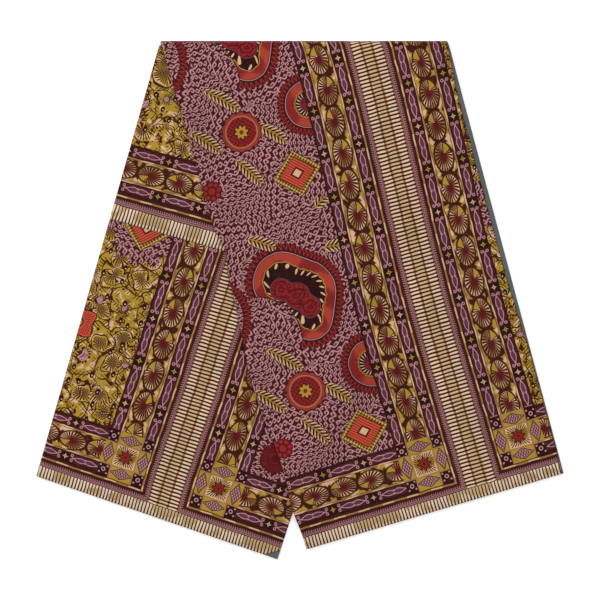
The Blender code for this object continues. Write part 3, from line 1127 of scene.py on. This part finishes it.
def paintFlowers(ground, field, point, x, y):
    patch = cloud(point, flowers["patch"], 1.0)
    colour = paint(ground, field, "olive")
    colour = paint(colour, field * above(patch, 0.61, 0.03), "cream")
    colour = paint(colour, field * below(patch, 0.32, 0.03), "brown")
    bend = cloud(point, flowers["bendSize"], 1.0, 1)
    bent = point.vector("ADD", bend.vector("SCALE", flowers["bend"], "Scale"))
    # vines wind between the flowers, with short slanted leaves on them
    vine = voronoi(bent, flowers["cell"], "DISTANCE_TO_EDGE") * flowers["cell"]
    slant = above(cloud(point, 16.0), 0.5, 0.02)
    reach, gap, line = flowers["leaf"]
    stroke = blend(slant, x + y * 0.6, y - x * 0.6).math("PINGPONG", gap)
    leafy = below(vine, reach) * above(cloud(point, 9.0), 0.45, 0.03)
    colour = paint(colour, field * leafy * below(stroke, line), "brown")
    colour = paint(colour, field * below(vine, flowers["vine"]), "brown")
    cell = voronoi(bent, flowers["cell"])
    nearX, nearY = xyOf(bent.vector("SUBTRACT", cell.other(2)))
    kind = xyOf(cell.other(1))[0]
    away = lengthOf(nearX, nearY)
    turn = turnOf(nearX, nearY)
    # shells with strokes round the rim
    radius = flowers["radius"] + (kind - 0.4) * 3.0
    curl = away + turn * flowers["curl"]
    isShell = field * below(kind, 0.62, 0.001)
    colour = paint(colour, isShell * below(curl, radius + 1.3), "brown")
    petal = isShell * below(curl, radius)
    colour = paint(colour, petal, "olive")
    colour = paint(colour, petal * above(away + kind * 8.0, 10.5) * above(patch, 0.52, 0.1), "cream")
    spoke = (turn * flowers["strokes"]).math("PINGPONG", 0.5)
    strokes = below(spoke, 0.44 - away * 0.022, 0.1)
    colour = paint(colour, petal * strokes * below(curl, radius - 1.0), "brown")
    colour = paint(colour, petal * below(away + spoke * 5.0, 5.4), "ground")
    dot = flowers["dot"]
    dots = lengthOf(nearX.math("WRAP", dot, -dot), nearY.math("WRAP", dot, -dot))
    colour = paint(colour, petal * below(away, 3.0) * below(dots, 0.6), "mauve")
    # small round lattice flowers with spikes
    isRound = field * above(kind, 0.78, 0.001)
    spike = (turn * flowers["spikes"]).math("PINGPONG", 0.5)
    colour = paint(colour, isRound * below(spike + away * 0.04, 0.52, 0.08) * below(away, 8.2), "brown")
    colour = paint(colour, isRound * below(away, flowers["round"]), "ground")
    face = isRound * below(away, flowers["round"] - 0.8)
    colour = paint(colour, face, "mauve")
    colour = paint(colour, face * below(dots, 0.62), "violet")
    # herringbone sprigs
    sprig = below(abs(nearX) * 2.2 + abs(nearY), flowers["sprig"])
    isSprig = field * within(kind, 0.7, 0.08, 0.001) * sprig
    rib = (nearY + abs(nearX) * 0.9).math("PINGPONG", 1.7)
    colour = paint(colour, isSprig * below(rib, 0.65), "maroon")
    colour = paint(colour, isSprig * below(abs(nearX), 0.55), "maroon")
    # dark buds with a light eye
    bud = voronoi(point, flowers["bud"])
    nearX, nearY = xyOf(point.vector("SUBTRACT", bud.other(2)))
    chosen = field * above(xyOf(bud.other(1))[0], 0.74, 0.001)
    size = lengthOf(nearX, nearY * 0.7) - nearY * 0.25
    colour = paint(colour, chosen * below(size, 2.3), "ground")
    return paint(colour, chosen * below(lengthOf(nearX + 0.3, nearY - 0.6), 0.85), "cream")


# One large flower, in millimetres
orangeFlower = {
    "middle": (162.0, 206.0),
    "petals": 5.0,
    "petalDepth": 15.0,
    "outline": 23.5,
    "size": 22.0,
    "strokes": 40.0,
    "strokeEnds": (8.0, 20.0),
    "heart": 6.5,
    "ring": (3.6, 1.2),
}


def paintOrangeFlower(ground, x, y):
    middleX, middleY = orangeFlower["middle"]
    nearX, nearY = x - middleX, y - middleY
    away = lengthOf(nearX, nearY)
    turn = turnOf(nearX, nearY)
    petal = away + (turn * orangeFlower["petals"]).math("PINGPONG", 0.5) * orangeFlower["petalDepth"]
    colour = paint(ground, below(petal, orangeFlower["outline"]), "ground")
    colour = paint(colour, below(petal, orangeFlower["size"]), "orange")
    start, end = orangeFlower["strokeEnds"]
    stroke = below((turn * orangeFlower["strokes"]).math("PINGPONG", 0.5), 0.17, 0.1)
    colour = paint(colour, below(petal, end) * stroke * above(away, start), "maroon")
    colour = paint(colour, below(away, orangeFlower["heart"]), "maroon")
    return paint(colour, within(away, *orangeFlower["ring"]), "olive")


# The border bands, in millimetres: where they lie from the light stripe's edge, and their widths
border = {
    "stripeHalf": 19.0,
    "groupEnd": 86.5,
    "hemEnd": 87.5,
    "bandMiddle": 39.0,
    "hemMiddle": 57.5,
    "chain": 21.5,
    "chainHalf": 6.6,
    "shellHalf": 14.0,
    "star": 26.0,
    "starFrom": (130.6, 127.0, 1.04),  # first star up the sides and along the hem, and its stretch there
    "rung": 4.5,
    "bar": 3.95,
    "hatch": 15.0,
    "hatchInk": 14.0,
}
# A bead of the chains, the curls at its ends and the stars between two of them
chainShape = {
    "bead": (15.0, 2.3, 0.06, 0.9),  # length, half width, taper, least half width
    "beadEnd": 15.2,
    "fillEnd": 9.5,
    "line": (0.5, 0.4),  # half width, softness
    "curl": (3.0, 17.8, 1.4, 0.45),  # middle, radius, half the line
    "neck": (15.4, 0.55, 16.4, 2.4),  # start, spread, middle, half length
    "side": (2.2, 0.9),  # place, radius
    "starGround": 20.6,
    "spark": 2.15,
}
# The shells: half their width and length, the step between them, and strokes by the turn
shellShape = {
    "half": (10.9, 18.2),
    "step": 38.0,
    "from": (96.0, 90.5, 1.118),  # first shell up the sides and along the hem, and its stretch there
    "strokes": 24.0,
    "crescent": (0.36, 0.085),  # middle and half width of the plain wedge, in turns
    "patch": 9.0,
    "tint": 14.0,
}


def paintBorders(ground, printPoint, p, v, f):
    side = abs(p)
    across = side - border["stripeHalf"] - border["bandMiddle"]
    up = v - border["hemMiddle"]
    isHem = below(v, border["hemEnd"], 0.2)
    isGroup = below(side, border["groupEnd"], 0.3)
    group = isHem.math("MAXIMUM", isGroup)
    colour = paint(ground, group, "brown")
    band = blend(isHem, across, up)
    q = abs(band)
    # chains of beads, curls and stars
    alongFrom, acrossFrom, stretch = border["starFrom"]
    star = blend(isHem, f - alongFrom, (side - acrossFrom) * stretch)
    t = star.math("PINGPONG", border["star"])
    y = border["star"] - t
    x = abs(q - border["chain"])
    chain = below(x, border["chainHalf"]) * group
    colour = paint(colour, chain, "chain")
    colour = paint(colour, chain * above(x, 5.3), "ground")
    long, wide, taper, least = chainShape["bead"]
    halfWidth = ((y / long) ** 0.75 * math.pi).math("SINE") * wide - y * taper + least
    bead = chain * below(y, chainShape["beadEnd"])
    colour = paint(colour, bead * below(x, halfWidth) * below(y, chainShape["fillEnd"], 1.0), "violet")
    colour = paint(colour, bead * below(abs(x - halfWidth), *chainShape["line"]), "mauve")
    curlX, curlY, radius, line = chainShape["curl"]
    colour = paint(colour, chain * within(lengthOf(x - curlX, y - curlY), radius, line, 0.4), "mauve")
    start, spread, middle, half = chainShape["neck"]
    neck = within(x, abs(y - start) * spread, line, 0.4) * within(y, middle, half)
    colour = paint(colour, chain * neck, "mauve")
    sideX, sideRadius = chainShape["side"]
    colour = paint(colour, chain * below(lengthOf(x - sideX, y), sideRadius, 0.4), "mauve")
    colour = paint(colour, chain * above(y, chainShape["starGround"]), "ground")
    parity = (star / (4 * border["star"]) + 0.25).math("FRACT")
    spark = chain * below(x.math("SQRT") + t.math("SQRT"), chainShape["spark"], 0.3)
    colour = paint(colour, spark, "cream")
    colour = paint(colour, spark * above(parity, 0.5, 0.01), "olive")
    colour = paint(colour, chain * below(x + t, 0.9), "ground")
    # thin lines beside the band of shells
    dash = above((star + band * 3.0).math("PINGPONG", 17.0), 9.0, 0.6)
    line = within(q, border["shellHalf"], 0.8) * group
    colour = paint(colour, line, "tan")
    colour = paint(colour, line * dash, "cream")
    # the band of shells
    shells = below(q, 12.6) * group
    patch = cloud(printPoint, shellShape["patch"])
    colour = paint(colour, shells, "tan")
    colour = paint(colour, shells * above(patch, 0.44, 0.04), "olive")
    colour = paint(colour, shells * above(patch, 0.64, 0.04), "cream")
    colour = paint(colour, shells * below(patch, 0.36, 0.04), "brown")
    alongFrom, acrossFrom, stretch = shellShape["from"]
    halfStep = shellShape["step"] / 2
    place = blend(isHem, f - alongFrom, (side - acrossFrom) * stretch)
    along = place.math("WRAP", halfStep, -halfStep)
    number = (place / shellShape["step"] + 0.5).math("FLOOR")
    # every other one faces the other way
    flip = number.math("PINGPONG", 1.0) * 2.0 - 1.0
    halfX, halfY = shellShape["half"]
    shellX = band * flip / halfX
    shellY = along / halfY
    away = lengthOf(shellX, shellY)
    turn = turnOf(shellX + 0.12, shellY - 0.16)
    spiral = away + turn * 0.16
    between = below(away, 1.2, 0.06) * above(abs(shellY), 0.82, 0.1)
    colour = paint(colour, shells * between, "brown")
    colour = paint(colour, shells * below(spiral, 1.09, 0.06), "brown")
    shell = shells * below(spiral, 0.92, 0.06)
    colour = paint(colour, shell, "tan")
    tint = cloud(printPoint, shellShape["tint"])
    colour = paint(colour, shell * above(tint, 0.53, 0.12), "cream")
    spoke = (turn * shellShape["strokes"]).math("PINGPONG", 0.5)
    crescent = within(turn, *shellShape["crescent"], 0.01)
    fluted = shell * (1.0 - crescent)
    strokes = below(spoke, 0.54 - spiral * 0.32, 0.1)
    colour = paint(colour, fluted * strokes, "brown")
    colour = paint(colour, shell * crescent * above(away, 0.3, 0.1), "olive")
    colour = paint(colour, shell * within(turn, 0.27, 0.012, 0.012) * above(away, 0.2, 0.1), "brown")
    centre = below(spiral + spoke * 0.7, 0.58, 0.08)
    colour = paint(colour, fluted * centre, "maroon")
    glow = within(spoke, 0.5, 0.1, 0.1) * below(spiral, 0.46, 0.1)
    colour = paint(colour, fluted * glow * 0.55, "red")
    return paintCorner(colour, isHem * isGroup, across, up)


# The squares where two bands cross, in millimetres
corner = {
    "ring": (2.0, 0.6),
    "dot": (4.3, 1.1),
    "lozenge": (6.4, 13.0),
    "lattice": (0.6, 1.6, 0.55),  # slant, step, line
    "ticks": 30.0,
    "tickEnd": (6.0, 12.4),  # how uneven the ticks' ends are, and how far they reach
    "petals": 8.0,
    "petalDepth": 9.0,
    "star": (9.6, 7.4, 1.5),  # outline, face, eye
    "lightFrom": 7.0,
    "tint": 14.0,
}


def paintCorner(ground, isCorner, across, up):
    a, b = abs(across), abs(up)
    colour = paint(ground, isCorner, "ground")
    shellHalf = border["shellHalf"]
    shellA, shellB = below(a, shellHalf), below(b, shellHalf)
    # chain over chain: a ring and four dots
    nearA, nearB = a - border["chain"], b - border["chain"]
    apart, radius = corner["dot"]
    dot = distanceTo(combine(abs(nearA), abs(nearB)), apart, apart)
    colour = paint(colour, isCorner * within(lengthOf(nearA, nearB), *corner["ring"]), "mauve")
    colour = paint(colour, isCorner * below(dot, radius), "mauve")
    # chain over shells: a lattice lozenge
    middle = blend(shellA, nearA, a)
    other = blend(shellA, b, nearB)
    isLozenge = (shellA - shellB).math("ABSOLUTE") * isCorner
    short, long = corner["lozenge"]
    slant, step, line = corner["lattice"]
    size = blend(shellA, abs(nearA) / short + b / long, a / long + abs(nearB) / short)
    lattice = closeLines(middle, other * slant, step)
    colour = paint(colour, isLozenge, "olive")
    colour = paint(colour, isLozenge * below(size, 1.12, 0.05), "ground")
    colour = paint(colour, isLozenge * below(size, 0.94, 0.05), "mauve")
    colour = paint(colour, isLozenge * below(size, 0.88, 0.05) * below(lattice, line, 0.4), "chain")
    # shells over shells: a star flower in a square of ticks
    isStar = shellA * shellB * isCorner
    away = lengthOf(across, up)
    turn = turnOf(across, up)
    spoke = (turn * corner["ticks"]).math("PINGPONG", 0.5)
    square = a.math("MAXIMUM", b)
    colour = paint(colour, isStar, "olive")
    tint = above(cloud(combine(across, up), corner["tint"]), 0.5, 0.1)
    colour = paint(colour, isStar * tint * above(square, corner["lightFrom"]), "cream")
    spread, end = corner["tickEnd"]
    tick = below(spoke, 0.34 - away * 0.008, 0.12) * below(square + spoke * spread, end)
    colour = paint(colour, isStar * tick, "brown")
    petal = away + (turn * corner["petals"]).math("PINGPONG", 0.5) * corner["petalDepth"]
    outline, face, eye = corner["star"]
    colour = paint(colour, isStar * below(petal, outline), "brown")
    colour = paint(colour, isStar * below(petal, face), "red")
    colour = paint(colour, isStar * below(away, eye), "maroon")
    grid = within(a, shellHalf, 0.9).math("MAXIMUM", within(b, shellHalf, 0.9))
    return paint(colour, isCorner * grid, "tan")


# The light stripe, the frame of edging round each panel and the hatched band, in millimetres
stripe = {
    "frameFrom": 15.5,
    "frameEnd": 11.8,
    "line": 9.6,
    "lineDash": (7.0, 15.0, 8.0),  # shift, half the step, start of the light part
    "edging": 2.7,
    "tooth": 1.35,
    "toothDepth": 2.1,
    "dent": (3.0, 0.85),
    "edgeLine": (1.0, 0.35),
    "pinch": 6.2,
    "tint": 24.0,
    "oliveHalf": 5.6,
}


def paintStripe(ground, printPoint, p, v, f):
    side = abs(p)
    # a frame of edging and a line round each panel
    fromHem, fromStripe = v - stripe["frameFrom"], side - border["stripeHalf"]
    frameWay = fromHem.math("MINIMUM", fromStripe)
    along = blend(below(fromHem, fromStripe), f, p)
    shift, step, gap = stripe["lineDash"]
    dash = above((along + shift).math("PINGPONG", step), gap, 0.6)
    colour = paint(ground, below(frameWay, stripe["frameEnd"]), "brown")
    colour = paint(colour, within(frameWay, stripe["line"], 1.0), "tan")
    colour = paint(colour, within(frameWay, stripe["line"], 0.8) * dash, "cream")
    half = stripe["tooth"]
    teeth = stripe["edging"] + along.math("PINGPONG", half) * stripe["toothDepth"]
    colour = paint(colour, below(frameWay, teeth, 0.5), "lilac")
    depth, radius = stripe["dent"]
    dent = below(lengthOf(frameWay - depth, along.math("WRAP", half, -half)), radius, 0.4)
    colour = paint(colour, dent, "chain")
    colour = paint(colour, within(frameWay, *stripe["edgeLine"]) * above(frameWay, 0.0), "chain")
    # the ladder of rungs
    tint = cloud(printPoint, stripe["tint"], 1.0)
    ladder = below(side, border["stripeHalf"])
    colour = paint(colour, ladder, "brown")
    rung = v.math("PINGPONG", border["rung"] / 2)
    pinch = (side - stripe["pinch"]).math("PINGPONG", stripe["pinch"])
    light = above(rung, 1.05 + below(pinch, 0.9, 1.8) * 0.45, 0.6)
    light = ladder * light
    colour = paint(colour, light, "tan")
    colour = paint(colour, light * above(pinch, 1.4, 1.2) * above(rung, 1.2, 0.6), "pale")
    isOlive = below(abs(side + (tint - 0.5) * 16.0), stripe["oliveHalf"], 2.5)
    colour = paint(colour, light * isOlive * 0.4, "olive")
    # the hatched band beside the selvedge
    hatch = below(v, border["hatch"])
    bar = (p + 0.6).math("PINGPONG", border["bar"] / 2)
    inked = hatch * below(v, border["hatchInk"])
    colour = paint(colour, hatch, "brown")
    colour = paint(colour, inked * above(bar, 1.0 - v * 0.02, 0.6), "pale")
    isOlive = above(tint, 0.5, 0.06) * above(v, 3.0, 2.0)
    return paint(colour, inked * above(bar, 1.0, 0.6) * isOlive * 0.7, "olive")


def uvPoint(tree, name, scale=1000.0):
    uv = addNode(tree, "ShaderNodeUVMap", {"uv_map": name}, {})
    return uv.vector("SCALE", scale, "Scale")


def xyOf(point):
    x = point.node("ShaderNodeSeparateXYZ", {}, {0: point})
    return x, x.other(1)


def newMaterial(name):
    material = bpy.data.materials.new(name)
    material.use_nodes = True
    return material, material.node_tree, material.node_tree.nodes["Principled BSDF"]


# The cloth's own finish: sizes in millimetres, threads by the millimetre
finish = {
    "shakeSize": 14.0,
    "shake": 1.4,
    "repeat": (80.0, 395.0),
    "threads": 1.5,
    "weave": 0.03,
    "slub": (3.0, 0.08),
    "bump": 0.35,
    "gloss": 0.08,
    "sheen": 0.02,
    "sheenRoughness": 0.5,
    "roughness": (0.62, 0.12),
}


def waxPrint():
    material, tree, shader = newMaterial("waxPrint")
    # the cloth's print, a little out of true as block printing is
    printRaw = uvPoint(tree, "printMap")
    fieldRaw = uvPoint(tree, "fieldMap")
    shake = cloud(printRaw, finish["shakeSize"], 1.0, 1).vector("SUBTRACT", (0.5, 0.5, 0.5))
    shake = shake.vector("SCALE", finish["shake"], "Scale")
    printPoint = printRaw.vector("ADD", shake)
    fieldPoint = fieldRaw.vector("ADD", shake)
    p, v = xyOf(printPoint)
    x, f = xyOf(fieldPoint)
    first, last = finish["repeat"]
    w = f.math("WRAP", last, first)
    point = combine(x, w)
    colour = paintCurls(plainDye(tree, "plum"), point, x, w)
    colour = paintWheels(colour, point, x, w)
    colour = paintSprays(colour, point, x, w)
    colour = paintRound(colour, x, w)
    colour = paintBerries(colour, below(abs(x - p), 50.0), x, w, f)
    clear = above(distanceTo(point, *lozenges["middles"][1]) + cloud(point, 15.0) * 22.0, 52.0, 0.5)
    colour = paintFlowers(colour, above(x, 0.0) * clear, point, x, w)
    colour = paintLozenges(colour, x, w)
    colour = paintOrangeFlower(colour, x, w)
    colour = paintBorders(colour, printPoint, p, v, f)
    colour = paintStripe(colour, printPoint, p, v, f)
    # painted shade at the edges: a dark band, then the grey of the layers below where the cloth turns down,
    # their shade painted in
    rim = xyOf(uvPoint(tree, "rimMap"))[0] + (cloud(printRaw, 8.0) - 0.5) * 2.4
    colour = paint(colour, below(rim, 0.8, 1.2) * 0.8, "ground")
    # the grey strip is the lower layers' rolled edges with their shade painted into the colour
    colour = paint(colour, below(rim, -0.3, 1.2), "shadedSlate")
    # thin dye and wax crackle
    wash = cloud(printRaw, 60.0, 3.0)
    crackle = below((cloud(printRaw, 30.0, 4.0) * 7.0).math("PINGPONG", 0.5), 0.02, 0.03)
    multiply = {"data_type": "RGBA", "blend_type": "MULTIPLY"}
    faded = wash.node("ShaderNodeMix", multiply, {0: 1.0, 6: colour, 7: grey(wash * 0.35 + 0.83)}, 2)
    colour = paint(faded, crackle * 0.05, "cream")
    tree.links.new(colour.socket, shader.inputs["Base Color"])
    # plain weave
    threadX, threadY = xyOf(printRaw)
    often = finish["threads"]
    weave = (threadX * math.tau * often).math("SINE") * (threadY * math.tau * often).math("SINE")
    slubSize, slub = finish["slub"]
    height = weave * finish["weave"] + cloud(printRaw, slubSize, 2.0) * slub
    bump = {"Height": height, "Strength": finish["bump"], "Distance": 0.001}
    tree.links.new(height.node("ShaderNodeBump", {}, bump).socket, shader.inputs["Normal"])
    least, more = finish["roughness"]
    tree.links.new((wash * more + least).socket, shader.inputs["Roughness"])
    shader.inputs["Specular IOR Level"].default_value = finish["gloss"]
    shader.inputs["Sheen Weight"].default_value = finish["sheen"]
    shader.inputs["Sheen Roughness"].default_value = finish["sheenRoughness"]
    return material


def grey(value):
    return value.node("ShaderNodeCombineXYZ", {}, {0: value, 1: value, 2: value})


# The folded edges of the layers, as short and long stretches of the print's inks, in millimetres
edgeFinish = {"short": 7.0, "long": 46.0, "roughness": (0.7, 0.1)}


def layeredEdges():
    material, tree, shader = newMaterial("layeredEdges")
    along, layer = xyOf(uvPoint(tree, "edgeMap", 1.0))
    along = along * 1000.0
    level = layer.math("FLOOR")
    piece = (along / edgeFinish["short"] + level * 3.3).math("FLOOR")
    chance = dice(piece, level)
    broad = dice((along / edgeFinish["long"] + level * 5.7).math("FLOOR"), level + 9.0)
    colour = paint(plainDye(tree, "plum"), above(broad, 0.35, 0.01), "brown")
    colour = paint(colour, above(broad, 0.7, 0.01), "olive")
    colour = paint(colour, above(chance, 0.62, 0.01), "cream")
    colour = paint(colour, above(chance, 0.82, 0.01), "maroon")
    colour = paint(colour, below(chance, 0.2, 0.01), "violet")
    tree.links.new(colour.socket, shader.inputs["Base Color"])
    least, more = edgeFinish["roughness"]
    tree.links.new((chance * more + least).socket, shader.inputs["Roughness"])
    return material


print("wax print")
cloth = waxPrint()
edges = layeredEdges()
for piece, finishes in (
    (rightCloth, [cloth]),
    (leftCloth, [cloth]),
    (flapCloth, [cloth]),
    (foldedLayers, [edges, cloth]),
):
    piece.data.materials.clear()
    for material in finishes:
        piece.data.materials.append(material)

print("cloths in place of the solids")
for piece, node, slot in (
    (rightCloth, "right_panel", "right_cloth"),
    (leftCloth, "left_panel", "left_cloth"),
    (flapCloth, "left_flap", "flap_cloth"),
    (foldedLayers, "inner_layers", "layers"),
):
    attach(piece, "root")
    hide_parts(node)

print("floor, light and camera")
deselectAll()
bpy.ops.mesh.primitive_plane_add(size=8, location=(0, 0, -0.0002))
floor = bpy.context.object
floor.name = "floor"
floorMaterial, _, floorShader = newMaterial("paleFloor")
floorFinish = {
    "Base Color": (0.9, 0.9, 0.9, 1.0),
    "Roughness": 0.9,
    "Emission Color": (1.0, 1.0, 1.0, 1.0),
    "Emission Strength": 0.4,
}
for socketName, value in floorFinish.items():
    floorShader.inputs[socketName].default_value = value
floor.data.materials.append(floorMaterial)

lamps = {
    "overhead": {"place": (0.0, 0.6, 3.2), "size": 3.4, "power": 86.0},
    "side": {"place": (-2.6, 1.4, 1.9), "size": 1.2, "power": 31.0},
}
skyPower = 0.25
for name, lamp in lamps.items():
    light = bpy.data.lights.new(name, "AREA")
    light.size = lamp["size"]
    light.energy = lamp["power"]
    holder = bpy.data.objects.new(name, light)
    holder.location = lamp["place"]
    holder.rotation_euler = (-Vector(lamp["place"])).to_track_quat("-Z", "Y").to_euler()
    scene.collection.objects.link(holder)
world = bpy.data.worlds.new("studio")
world.use_nodes = True
sky = world.node_tree.nodes["Background"]
sky.inputs["Color"].default_value = (1, 1, 1, 1)
sky.inputs["Strength"].default_value = skyPower
scene.world = world

# Plain colours, so that the print's inks show as they are
scene.view_settings.view_transform = "Standard"

view = {"distance": 6.0, "frameWidth": 0.711, "sensor": 36.0}
camera = bpy.data.objects.new("camera", bpy.data.cameras.new("camera"))
camera.location = (0, 0, view["distance"])
camera.data.sensor_width = view["sensor"]
camera.data.lens = view["sensor"] * view["distance"] / view["frameWidth"]
scene.collection.objects.link(camera)
scene.camera = camera
